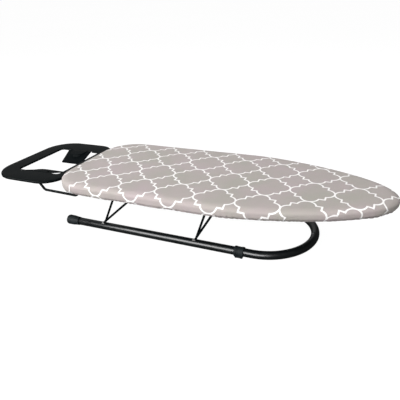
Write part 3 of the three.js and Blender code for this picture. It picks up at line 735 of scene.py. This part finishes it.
def cover_surface(c, around=960, rings=12):
    """The cover as one closed skin. On the top a point is spine + share (edge - spine), sinking by share ** 3 to the
    edge's height, and beyond it the outline moved in by the profile's inset, at the profile's height. The profile
    widens from the tube's wrap to the nose's. Along its own normal the skin moves by the gathers, and towards the
    square end the hem hangs lower.

    The cloth's own flat carries the outline on outwards by the length of the profile."""
    nose_run, sag_run, sag_top = 0.22, 0.2, 16 * MM
    outline, normal, spine, total = board_outline(c, around)
    place = even_steps(total, around)
    first, inner = edge_profile(c, c.tube_wrap)
    drawn = eased((outline[:, 0] - c.nose_start) / nose_run)
    outer = first[:, None] + (edge_profile(c, c.nose_wrap)[0] - first)[:, None] * drawn[:, None]
    step = np.gradient(outer, axis=0)
    out = unit(np.stack([step[..., 1], -step[..., 0]], -1))
    above = outer[..., 1] - COVER_LOW[2]
    bulge, folds = gathered(c, normal, above, place, total)
    hang = eased((c.sag_end - outline[:, 0]) / sag_run) * np.clip(1 - above / sag_top, 0, 1)
    hang = hang * np.clip(1 - outer[..., 0] / (c.hem - 2 * c.casing), 0, 1)
    inset = outer[..., 0] + bulge * out[..., 0]
    height = outer[..., 1] + bulge * out[..., 1] - c.sag * hang
    skirt = np.dstack([outline - normal * inset[..., None], height])
    edge = outline - normal * c.soft_edge
    shares = np.linspace(0, 1, rings, endpoint=False)[:, None, None]
    flat_top = spine + shares * (edge - spine)
    crown = COVER_HIGH[2] + (COVER_TOP - COVER_HIGH[2]) * shares[..., 0] ** 3 * np.ones((1, around))
    lining = np.dstack([outline - normal * inner[:, :1, None], np.repeat(inner[:, 1:], around, axis=1)])
    back = shares[::-3]
    closing = np.dstack([spine + back * (edge - spine), np.full((len(back), around), COVER_TOP - c.cloth)])
    closing[-1, :, :2] = spine
    points = np.vstack([np.dstack([flat_top, crown]), skirt, lining, closing])
    run = run_along(first)
    flat_skirt = edge + normal * run[:, None, None]
    flat = np.vstack([flat_top, flat_skirt, np.repeat(flat_skirt[-1:], len(lining) + len(closing), axis=0)])
    depth = np.zeros(flat.shape[:2])
    depth[rings:rings + len(folds)] = folds
    return points, np.dstack([flat, np.broadcast_to(place, depth.shape), depth]), run[-1]


def pad_surface(c, around=480, rings=8):
    """The pad: the outline moved in under the cloth, its upper edge following the cloth's fall at a cloth's
    thickness below it, and a flat underside."""
    outline, normal, spine, _ = board_outline(c, around)
    gap, least = c.cloth + 0.5 * MM, 0.6 * MM
    inset = c.soft_edge * np.array([1.0, 0.75, 0.55, 0.4, 0.28, 0.2, 0.14, 0.1])
    height = np.append(np.maximum(COVER_TOP - gap - fall_of(c, inset), PAD_BOTTOM + least), PAD_BOTTOM)
    inset = np.append(inset, inset[-1] + least) + gap
    edge = np.dstack([outline - normal * inset[:, None, None], np.repeat(height[:, None], around, axis=1)])
    shares = np.linspace(0, 1, rings, endpoint=False)[:, None, None]
    above = np.dstack([spine + shares * (edge[0, :, :2] - spine), np.full((rings, around), height[0])])
    below = np.dstack([spine + shares[::-1] * (edge[-1, :, :2] - spine), np.full((rings, around), PAD_BOTTOM)])
    return np.vstack([above, edge, below])


# Stand


def base_route(stand):
    """Two straight arms joined by a half circle under the nose: two quarter arcs, whose radius is a hair short of the
    arms' distance from the middle so that no step between them turns back."""
    r = stand.tube_radius
    side, tail, nose = TUBE_HIGH[1] - r, TUBE_LOW[0], TUBE_HIGH[0] - r
    corners = [[x, y, TUBE_HEIGHT] for x, y in ((tail, -side), (nose, -side), (nose, side), (tail, side))]
    return bent(corners, side * 0.99999, 36)


def leg_route(node, stand):
    """Foot, cross run and foot of a leg wire, found from its solid's box: a square-cut foot that leans by an
    angle reaches radius cos(angle) behind its centre and radius sin(angle) below it. The lean and the foot are
    worked out by turns until they agree."""
    low, high = BOXES[node]
    r = stand.leg_radius
    side = high[1] - r
    top = np.array([high[0] - r, high[2] - r])
    lean = 0.5
    for _ in range(20):
        foot = np.array([low[0] + r * math.cos(lean), low[2] + r * math.sin(lean)])
        lean = math.atan2(top[0] - foot[0], top[1] - foot[1])
    corners = [[foot[0], -side, foot[1]], [top[0], -side, top[1]], [top[0], side, top[1]], [foot[0], side, foot[1]]]
    return bent(corners, stand.leg_bend, 10), (math.cos(lean), 0, -math.sin(lean)), foot


def rest_wire_route(side, stand):
    """From under the rest's side band down, in below the rim and up to the cross bar at the tail: straight runs
    joined by arcs. The wire drops below the rest, and goes aside as it rises to its seat."""
    low, high = BOXES["rest_wire_far"]
    r, aside, drop = stand.rest_wire_radius, 0.0085, 0.0195
    under_rest, upper = REST_HIGH[1] - 0.0115, REST_HIGH[2] - 0.0045
    lower = upper - drop
    seat_y, seat_z = high[1] - r - aside, BOXES["cross_bar_tail"][0][2] - SEAT_GAP - r
    fall_from, fall_to, rise_from, rise_to = COVER_LOW[0] + np.array([-0.050, -0.0345, 0.059, 0.082])
    corners = [
        [low[0], under_rest, upper], [fall_from, under_rest, upper], [fall_to, under_rest, lower],
        [rise_from, seat_y + aside, lower], [rise_to, seat_y, seat_z], [high[0], seat_y, seat_z],
    ]
    return bent(np.array(corners) * (1, side, 1), stand.rest_wire_bend, 8)


def cap_surface(node):
    """A rubber cup turned about the tube's line, each point at radius (cos a, sin a) and a place along it. The
    profile of radius and place has a rounded end, a swollen grip and a mouth that thins to the tube."""
    low, high = BOXES[node]
    centre, outer, total = (low + high) / 2, (high[2] - low[2]) / 2, high[0] - low[0]
    bore, bore_end, wall, lip = 0.0093, 0.006, 0.0006, 0.0002
    soft, skirt = 0.0048, 0.0075
    a = np.linspace(0, math.pi / 2, 9)
    b = np.linspace(0.05, 1, 12)
    thin = outer + (bore + wall - outer) * eased(b)
    mouth = total + skirt
    profile = np.vstack([
        [[0, 0], [0.0035, 0.0001]],
        np.stack([outer - soft + soft * np.sin(a), soft - soft * np.cos(a)], -1),
        [[outer, total * 0.3], [outer, total * 0.45]],
        np.stack([thin, total * 0.5 + (total * 0.5 + skirt) * b], -1),
        [[bore + 2 * lip, mouth + lip], [bore, mouth - lip], [bore, bore_end], [0, bore_end]],
    ])
    a = even_steps(TURN, 48)
    ring = np.stack([0 * a, np.cos(a), np.sin(a)], -1)
    points = profile[:, 0, None, None] * ring + np.array([1.0, 0, 0]) * profile[:, 1, None, None]
    return points + (low[0], centre[1], centre[2]), False, True, None


def foot_surface(node, tube_radius):
    """A collar round the tube with a flat pad below it. Each ring is bore + share (outline - bore), so the
    outer face, both ends and the bore are one closed skin. Below the neck the foot is shorter along the tube."""
    low, high = BOXES[node]
    centre = np.array([(low[0] + high[0]) / 2, (low[1] + high[1]) / 2])
    outer, half, reach = high[2] - TUBE_HEIGHT, 0.0085, (high[0] - low[0]) / 2
    # How far below the tube's middle the flanks begin, and where and by what share the foot grows shorter
    flank, neck, neck_run, shorter = 0.0055, 0.0065, 0.0025, 0.19
    # Small cuts and rounds, then the length and depth of the step down to the shallow groove round the collar
    tip, cut, soft, groove_run, groove = 0.0004, 0.0012, 0.0014, 0.0008, 0.0005
    shoulder = math.asin(-flank / outer)
    a = np.linspace(shoulder, math.pi - shoulder, 64)
    collar = np.stack([outer * np.cos(a), outer * np.sin(a)], -1)
    corner = np.array([[-half, cut], [-half + tip, tip], [-half + cut, 0]])
    pad = np.vstack([corner, corner[::-1] * (-1, 1)]) - (0, TUBE_HEIGHT)
    outline, normal, _ = resampled(np.vstack([collar, pad]), 128)
    angle = np.arctan2(outline[:, 1], outline[:, 0])
    bore = (tube_radius + SEAT_GAP) * np.stack([np.cos(angle), np.sin(angle)], -1)
    end = np.array([[-reach + tip, 0, 0], [-reach, 0.25, 0], [-reach, 1, soft], [-reach + 0.3 * soft, 1, 0.3 * soft],
                    [-reach + soft, 1, 0], [-reach / 2, 1, 0], [-reach / 2 + groove_run, 1, groove]])
    stations = np.vstack([end, end[::-1] * (-1, 1, 1)])
    share, inset = stations[:, 1, None, None], stations[:, 2, None, None]
    section = bore * (1 - share) + (outline - normal * inset) * share
    x = stations[:, :1] * (1 - shorter * eased((-neck - section[..., 1]) / neck_run))
    flat = (section[..., 1] < -TUBE_HEIGHT + cut / 2) & (share[..., 0] > 0.9)
    section[..., 1] = np.where(flat, -TUBE_HEIGHT, section[..., 1])
    points = np.dstack([centre[0] + x, centre[1] + section[..., 0], TUBE_HEIGHT + section[..., 1]])
    return points, True, True, None


def weld_bead(centre, size, along, seed, rows=9, columns=16):
    """A lump of weld: an ellipsoid whose radius swells and pinches with its two angles."""
    draw = np.random.default_rng(seed)
    a = np.linspace(0, math.pi, rows)[:, None]
    b = even_steps(TURN, columns)
    phase = draw.uniform(0, TURN, 2)
    swell = 1 + 0.12 * np.sin(3 * b + phase[0]) * np.sin(a) + 0.08 * np.sin(5 * a + phase[1]) * np.sin(a)
    first = unit(np.asarray(along, float))
    second = unit(np.cross(first, (0.03, 0.99, 0.05)))
    axes = (first, second, np.cross(first, second))
    shares = (np.cos(a), np.sin(a) * np.cos(b), np.sin(a) * np.sin(b))
    points = sum((swell * part * reach)[..., None] * axis for part, reach, axis in zip(shares, size, axes))
    points[[0, -1]] = points[[0, -1]].mean(axis=1, keepdims=True)
    return points + np.asarray(centre), False, True, None


# Iron rest


def rest_frame(rest):
    """Places that the plate and its wings share."""
    low = np.array([REST_LOW[0] + rest.band_head, -REST_HIGH[1] + rest.band_side])
    high = np.array([REST_HIGH[0] - rest.band_tail, REST_HIGH[1] - rest.band_side])
    wing_x = high[0] - rest.wing_inset - rest.wing_length / 2
    return low, high, wing_x, REST_HIGH[2]


def rectangle(low, high):
    """The four corners between two, anticlockwise."""
    return [[low[0], low[1]], [high[0], low[1]], [high[0], high[1]], [low[0], high[1]]]


def plate_surface(rest):
    """The plate: a closed section carried round both outlines at once. Each station belongs to the outer outline
    (0), to the opening (1) or midway (0.5), and stands off it by some distance, at some height. Along a wing the
    opening's bend stops at the wing's slope, and the stations past it gather on that line."""
    hole_low, hole_high, wing_x, top = rest_frame(rest)
    low, high = REST_LOW[:2], REST_HIGH[:2]
    arc = 14
    reach = rest.wing_length / 2 + rest.wing_margin
    span = hole_high[0] - hole_low[0] - 2 * rest.hole_corner
    cuts = (np.array([wing_x - reach, wing_x + reach]) - hole_low[0] - rest.hole_corner) / span
    tiny = 0.0001 / span
    near = np.sort(np.concatenate([np.linspace(0.02, 0.98, 24), cuts - tiny, cuts + tiny]))
    end = np.linspace(0.02, 0.98, 22)
    shares = [near, end, (1 - near)[::-1], end]
    head, tail = rest.head_corner, rest.tail_corner
    outer, outer_normal = rounded_corners(rectangle(low, high), [head, tail, tail, head], arc, shares)
    hole, hole_normal = rounded_corners(rectangle(hole_low, hole_high), [rest.hole_corner] * 4, arc, shares)
    t, b, cut = rest.sheet, rest.bend, 0.0003
    inner = b - t
    a = np.linspace(0, math.pi / 2, 6)
    rim = np.stack([np.zeros(6), b - b * np.cos(a), -b + b * np.sin(a)], -1)
    over = np.stack([np.ones(6), b - b * np.sin(a), -b + b * np.cos(a)], -1)
    hole_lip = [[1, 0, -rest.hole_lip + cut], [1, cut, -rest.hole_lip], [1, t - cut, -rest.hole_lip],
                [1, t, -rest.hole_lip + cut]]
    back = np.stack([np.ones(6), t + inner - inner * np.cos(a), -b + inner * np.sin(a)], -1)
    front = np.stack([np.zeros(6), t + inner - inner * np.sin(a), -b + inner * np.cos(a)], -1)
    lip = [[0, t, -rest.outer_lip + cut], [0, t - cut, -rest.outer_lip], [0, cut, -rest.outer_lip]]
    stations = np.vstack([[[0, 0, -rest.outer_lip + cut]], rim, [[0.5, 0, 0]], over, hole_lip, back,
                          [[0.5, 0, -t]], front, lip])
    kind, off, drop = (stations[:, k, None] for k in range(3))
    on_outer = outer - outer_normal * off[..., None]
    on_hole = hole + hole_normal * off[..., None]
    middle = (outer - outer_normal * b + hole + hole_normal * b) / 2
    place = np.where(kind[..., None] == 0, on_outer, np.where(kind[..., None] == 1, on_hole, middle))
    height = top + drop * np.ones((1, len(outer)))
    slope = rest.wing_slope
    winged = (np.abs(hole[:, 0] - wing_x) < reach) & (np.abs(hole_normal[:, 1]) > 0.99)
    face = np.array([b - b * math.sin(slope), -b + b * math.cos(slope)])
    rear = np.array([b - inner * math.sin(slope), -b + inner * math.cos(slope)])
    turned = np.flatnonzero(stations[:, 0] == 1)
    for k in turned[stations[turned, 1] < face[0]]:
        stop = face if k < turned[len(turned) // 2] else rear
        place[k] = np.where(winged[:, None], hole + hole_normal * stop[0], place[k])
        height[k] = np.where(winged, top + stop[1], height[k])
    return np.dstack([place, height]), True, True, None


def wing_surface(rest, side):
    """A wing with its raised half-round swelling, as one closed skin of a top and a bottom face.

    Both are strips of rows: from the root line to the swelling's half ellipse, rising at its angle, down its wall,
    and on to the tapered outline. The skin is then turned down by the wing's slope."""
    _, high, wing_x, top = rest_frame(rest)
    slope, t, half = rest.wing_slope, rest.sheet, rest.wing_length / 2
    depth, lap, soft, count = rest.wing_depth, 0.0005, 0.0003, 67
    route = bent([[half, -lap, 0], [half + rest.wing_tail_flare, depth, 0], [rest.wing_head_taper - half, depth, 0],
                  [-half, -lap, 0]], rest.wing_corner, 8)[:, :2]
    run = run_along(route)
    at = np.sort(np.concatenate([np.linspace(0, run[-1], count - len(route))[1:-1], run]))
    edge = sampled(route, run, at)
    a = np.linspace(0, math.pi, len(edge))
    level = 0 * a

    def ring(inset):
        points = np.stack([(rest.tongue_half - inset) * np.cos(a), (rest.tongue_depth - inset) * np.sin(a)], -1)
        points[[0, -1], 1] = -lap
        return points

    def rise(points):
        return np.maximum(points[:, 1], 0) * math.tan(rest.tongue_tilt)

    def strip(start, end, shares, lift):
        lines = [start + share * (end - start) for share in shares]
        return [(line, lift(line)) for line in lines]

    root = np.stack([rest.tongue_half * np.cos(a), np.full(len(a), -lap)], -1)
    crest = rise(ring(0))
    rows = [
        *strip(root, ring(2 * soft), (0, 0.3, 0.6, 0.9), rise),
        (ring(soft), crest - 0.3 * soft),
        (ring(0), np.maximum(crest - 1.5 * soft, 0)),
        (ring(-0.3 * soft), 0.06 * crest),
        *strip(ring(-2 * soft), edge, (0, 0.33, 0.66, 0.97), lambda line: level),
        (edge, level - soft), (edge, level - t + soft),
        *strip(ring(t), edge, (0.97, 0.66, 0.33, 0), lambda line: level - t),
        *strip(root, ring(t + soft), (1, 0.6, 0.3, 0), lambda line: rise(line) - t),
    ]
    x, y = np.moveaxis(np.pad([row[0] for row in rows], ((0, 0), (1, 1), (0, 0)), mode="edge"), -1, 0)
    z = np.pad([row[1] for row in rows], ((0, 0), (1, 1)), constant_values=-t / 2)
    y, z = y * math.cos(slope) + z * math.sin(slope), -y * math.sin(slope) + z * math.cos(slope)
    root_y = -high[1] - rest.bend + rest.bend * math.sin(slope)
    root_z = top - rest.bend * (1 - math.cos(slope))
    return np.dstack([wing_x + x, -side * (root_y + y), root_z + z]), True, False, None


# Studio


def soft_sky(studio):
    """A dim room, brighter overhead, with one pale wall behind the iron rest for the dark parts to reflect."""
    wall_way, wall_from, wall_full = (-0.68, 0.73, 0), 0.6, 0.85
    overhead, under, sky, back = 0.15, studio.under, studio.sky, studio.back
    world = bpy.data.worlds.new("soft_sky")
    world.use_nodes = True
    s = Nodes(world.node_tree)
    way = s.node("ShaderNodeTexCoord").outputs["Generated"]
    height = s.ramp(s.split(way)[2], -1.0, 1.0)
    bands = s.greys(height, [(0.0, under), (0.45, under), (0.52, sky), (0.8, sky), (1.0, overhead)])
    facing = s.node("ShaderNodeVectorMath", {0: way, 1: wall_way}, operation="DOT_PRODUCT").outputs["Value"]
    wall = s.greys(height, [(0.55, 0.0), (0.62, back), (0.80, back), (0.88, 0.0)])
    both = s.maths("MULTIPLY_ADD", s.ramp(facing, wall_from, wall_full), wall, bands)
    inputs = world.node_tree.nodes["Background"].inputs
    inputs["Color"].default_value = (1, 1, 1, 1)
    s.put(both, inputs["Strength"])
    return world


def floor_shape(sides=64, below=0.0002):
    """A round floor a little below the table's level that turns up into a wall far out: rings of growing radius,
    each at its own height."""
    a = even_steps(TURN, sides)
    ring = np.stack([np.cos(a), np.sin(a), 0 * a], -1)
    reach = np.array([0, 0.5, 1.5, 4, 8, 12, 14, 16, 17.5, 18.5, 19.2, 19.7, 20])
    rise = np.array([0, 0, 0, 0, 0, 0.15, 0.5, 1.3, 2.4, 3.8, 6, 10, 16])
    points = reach[:, None, None] * ring + rise[:, None, None] * (0, 0, 1) - (0, 0, below)
    mesh = bpy.data.meshes.new("floor")
    mesh.from_pydata(points.reshape(-1, 3).tolist(), [], grid_faces(len(reach), sides, False, True).tolist())
    return mesh


def photo_view():
    """The camera's turn and place: it looks along its bearing and height angle, rolled about its line of sight."""
    azimuth, elevation, roll = (math.radians(v) for v in CAMERA_ANGLES)
    back = Vector((math.sin(azimuth) * math.cos(elevation), -math.cos(azimuth) * math.cos(elevation),
                   math.sin(elevation)))
    right = (-back).cross(Vector((0, 0, 1))).normalized()
    up = right.cross(-back)
    across = right * math.cos(roll) + up * math.sin(roll)
    upward = up * math.cos(roll) - right * math.sin(roll)
    return Matrix.Translation(CAMERA_PLACE) @ Matrix((across, upward, back)).transposed().to_4x4()


# Operators


class MakeCover(bpy.types.Operator):
    """Cloth cover with its printed trellis, gathers and turned-in hem"""

    bl_idname = "ironing.cover"
    bl_label = "Cloth cover"

    def execute(self, context):
        c = context.scene.cloth_cover
        points, flat, reach = cover_surface(c)
        cover = piece("cloth_cover", [(points, False, True, flat)], finish_of("cotton"),
                      ["fabric_cover"])
        return {"FINISHED"}


class MakePad(bpy.types.Operator):
    """Felt pad under the cloth"""

    bl_idname = "ironing.pad"
    bl_label = "Felt pad"

    def execute(self, context):
        surface = (pad_surface(context.scene.cloth_cover), False, True, None)
        pad = piece("needled_pad", [surface], finish_of("felt"), ["felt_pad"])
        return {"FINISHED"}


class MakeDeck(bpy.types.Operator):
    """Steel mesh deck, rim tube, cross bars and stringers"""

    bl_idname = "ironing.deck"
    bl_label = "Deck and frame"

    def execute(self, context):
        finishes = {"mesh_deck": "paint", "rim_tube": "paint"}
        for name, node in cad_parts.items():
            if name.startswith(("mesh_deck", "rim_tube", "cross_bar", "stringer")):
                node.data.materials.clear()
                node.data.materials.append(finish_of(finishes.get(name, "satin")))
        return {"FINISHED"}


class MakeBase(bpy.types.Operator):
    """Base tube, bent to a U under the nose"""

    bl_idname = "ironing.base"
    bl_label = "Base tube"

    def execute(self, context):
        stand = context.scene.wire_stand
        surface = tube(base_route(stand), stand.tube_radius, (0, 0, 1), 40)
        piece("bent_base", [surface], finish_of("gloss"), ["base_tube"])
        return {"FINISHED"}


class MakeLegs(bpy.types.Operator):
    """Bent leg wires, with their weld beads"""

    bl_idname = "ironing.legs"
    bl_label = "Leg wires"

    def execute(self, context):
        stand = context.scene.wire_stand
        beads = []
        # A bead's half sizes, and how far it lies behind the foot, out from the tube's line and below its top
        bead, behind, outward, sunk = (0.0042, 0.0032, 0.0017), 0.0026, 0.0030, 0.0012
        for k, end in enumerate(("tail", "nose")):
            for part in ("upright", "brace"):
                node = f"leg_wire_{end}_{part}"
                route, across, foot = leg_route(node, stand)
                piece(f"{end}_{part}_wire", [tube(route, stand.leg_radius, across, 24)], finish_of("satin"),
                      [node])
            for m, side in enumerate(SIDES.values()):
                y = side * (TUBE_HIGH[1] - stand.tube_radius + outward)
                beads.append(weld_bead((foot[0] - behind, y, TUBE_HIGH[2] - sunk), bead, (1, 0, 0), 10 * k + m))
        piece("leg_welds", beads, finish_of("weld"))
        return {"FINISHED"}


class MakeFeet(bpy.types.Operator):
    """Rubber end caps and clip feet"""

    bl_idname = "ironing.feet"
    bl_label = "Caps and feet"

    def execute(self, context):
        radius = context.scene.wire_stand.tube_radius
        for label in SIDES:
            piece(f"rubber_cap_{label}", [cap_surface(f"end_cap_{label}")], finish_of("rubber"),
                  [f"end_cap_{label}"])
            foot = foot_surface(f"clip_foot_{label}", radius)
            piece(f"rubber_foot_{label}", [foot], finish_of("rubber"), [f"clip_foot_{label}"])
        return {"FINISHED"}


class MakeRest(bpy.types.Operator):
    """Stamped iron rest with its wings"""

    bl_idname = "ironing.rest"
    bl_label = "Iron rest"

    def execute(self, context):
        rest = context.scene.stamped_rest
        surfaces = [plate_surface(rest), *(wing_surface(rest, side) for side in SIDES.values())]
        piece("stamped_rest", surfaces, finish_of("satin"), ["iron_rest"])
        return {"FINISHED"}


class MakeRestWires(bpy.types.Operator):
    """Wires that carry the iron rest"""

    bl_idname = "ironing.rest_wires"
    bl_label = "Rest wires"

    def execute(self, context):
        stand = context.scene.wire_stand
        for label, side in SIDES.items():
            surface = tube(rest_wire_route(side, stand), stand.rest_wire_radius, (0, 1, 0), 24)
            piece(f"carrier_wire_{label}", [surface], finish_of("satin"), [f"rest_wire_{label}"])
        return {"FINISHED"}


class MakeStudio(bpy.types.Operator):
    """Floor, lights and camera"""

    bl_idname = "ironing.studio"
    bl_label = "Studio"

    def execute(self, context):
        scene = context.scene
        studio = scene.studio
        mesh = floor_shape()
        mesh.materials.append(finish_of("paper"))
        floor = bpy.data.objects.new("floor", mesh)
        scene.collection.objects.link(floor)
        # The floor is a backdrop only: it lights nothing, shows in nothing and takes no light away
        floor.visible_diffuse = floor.visible_glossy = floor.visible_shadow = False
        scene.world = soft_sky(studio)
        scene.view_settings.view_transform = "Standard"
        # Each lamp's place, size, aim and power
        lamps = {
            "fill": ((1.9, -2.0, 1.3), (2.0, 1.4), (0.2, 0, 0.1), studio.fill),
            "overhead": ((-0.1, 0.1, 2.4), (3.2, 3.2), (0, 0, 0.06), studio.key),
            "softbox": ((-1.2, -2.8, 1.35), (6.0, 1.8), (0, -0.1, 0.1), studio.softbox),
        }
        for name, (place, size, aim, power) in lamps.items():
            light = bpy.data.lights.new(name, "AREA")
            light.shape, light.energy = "RECTANGLE", power
            light.size, light.size_y = size
            lamp = bpy.data.objects.new(name, light)
            lamp.location = place
            lamp.rotation_euler = (Vector(aim) - Vector(place)).to_track_quat("-Z", "Y").to_euler()
            lamp.visible_glossy = name == "softbox"
            scene.collection.objects.link(lamp)
        camera = bpy.data.cameras.new("camera")
        camera.sensor_width, camera.lens = 36.0, studio.lens
        camera.clip_start, camera.clip_end = 0.02, 200
        scene.camera = bpy.data.objects.new("camera", camera)
        scene.camera.matrix_world = photo_view()
        scene.collection.objects.link(scene.camera)
        return {"FINISHED"}


class IroningPanel(bpy.types.Panel):
    """Lists the operators and their settings"""

    bl_idname = "VIEW3D_PT_ironing_board"
    bl_label = "Ironing board"
    bl_space_type = "VIEW_3D"
    bl_region_type = "UI"
    bl_category = "Ironing board"

    def draw(self, context):
        for maker in MAKERS:
            self.layout.operator(maker.bl_idname)
        for name, group in SETTINGS.items():
            box = self.layout.box()
            box.label(text=group.__doc__)
            for key in group.__annotations__:
                box.prop(getattr(context.scene, name), key)


SETTINGS = {
    "trellis_print": TrellisPrint, "cloth_cover": ClothCover, "wire_stand": WireStand,
    "stamped_rest": StampedRest, "dark_finishes": DarkFinishes, "studio": Studio,
}
MAKERS = [MakeStudio, MakePad, MakeCover, MakeDeck, MakeBase, MakeLegs, MakeFeet, MakeRest, MakeRestWires]


def register():
    for made in (*SETTINGS.values(), *MAKERS, IroningPanel):
        bpy.utils.register_class(made)
    for name, group in SETTINGS.items():
        setattr(bpy.types.Scene, name, bpy.props.PointerProperty(type=group))


def unregister():
    for name in SETTINGS:
        delattr(bpy.types.Scene, name)
    for made in (IroningPanel, *reversed(MAKERS), *reversed(list(SETTINGS.values()))):
        bpy.utils.unregister_class(made)


def main():
    register()
    for maker in MAKERS:
        group, name = maker.bl_idname.split(".")
        getattr(getattr(bpy.ops, group), name)()


if __name__ == "__main__":
    main()
